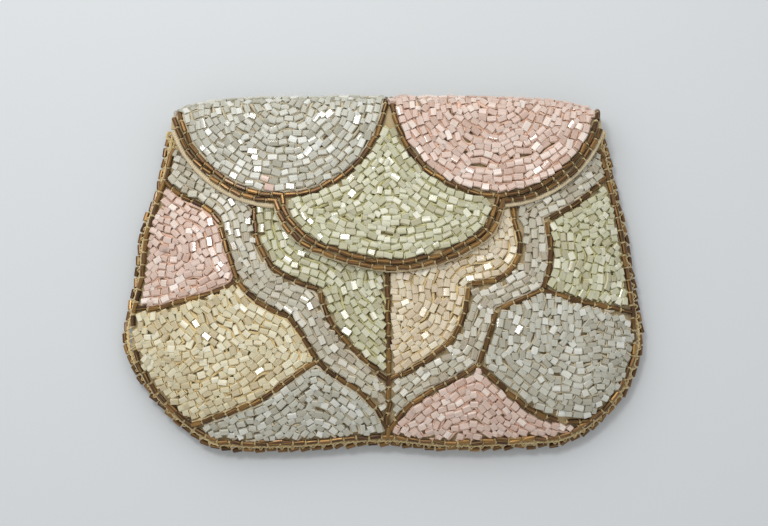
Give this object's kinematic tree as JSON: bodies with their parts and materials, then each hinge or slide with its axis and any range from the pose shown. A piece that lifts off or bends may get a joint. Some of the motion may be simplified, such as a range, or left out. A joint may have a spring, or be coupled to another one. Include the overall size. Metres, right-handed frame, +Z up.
{
  "type": "beaded flap purse",
  "caption": "Small flat evening purse of cloth covered with satin glass beads in scalloped fields, with bronze bead outlines and a flap with three scallops, closed and lying on its back.",
  "frame": {"origin": "centre of the bounding box, on the plane that the back lies on", "axes": "+Z up out of the front, +Y from the bottom seam to the fold, +X to the right as seen from above the front"},
  "size_m": [0.1898, 0.13, 0.0221],
  "materials": {
    "cloth": "cream cotton cloth, plain weave",
    "binding": "cream silk, rolled edge",
    "bronze_beads": "bronze lustred glass bugles",
    "pearl_beads": "satin glass, silver grey",
    "rose_beads": "satin glass, pale pink",
    "lemon_beads": "satin glass, pale yellow",
    "mist_beads": "satin glass, blue grey",
    "leaf_beads": "satin glass, pale green",
    "cream_beads": "satin glass, peach cream",
    "snap_steel": "plain"
  },
  "bodies": {
    "root": {"back_and_flap_cloth": "cloth", "front_cloth": "cloth", "flap_binding": "binding", "front_outline_beads": "bronze_beads", "flap_outline_beads": "bronze_beads", "flap_edge_beads": "bronze_beads", "seam_edging_beads": "bronze_beads", "front_beads_ribbon_left": "pearl_beads", "front_beads_ribbon_right": "pearl_beads", "front_beads_rose_left": "rose_beads", "front_beads_rose_right": "rose_beads", "front_beads_lemon": "lemon_beads", "front_beads_mist_left": "mist_beads", "front_beads_mist_right": "mist_beads", "front_beads_leaf_left": "leaf_beads", "front_beads_leaf_right": "leaf_beads", "front_beads_cream": "cream_beads", "flap_beads_left": "mist_beads", "flap_beads_right": "rose_beads", "flap_beads_middle": "leaf_beads", "back_beads": "pearl_beads", "snap_fastener": "snap_steel"}
  },
  "joints": []
}
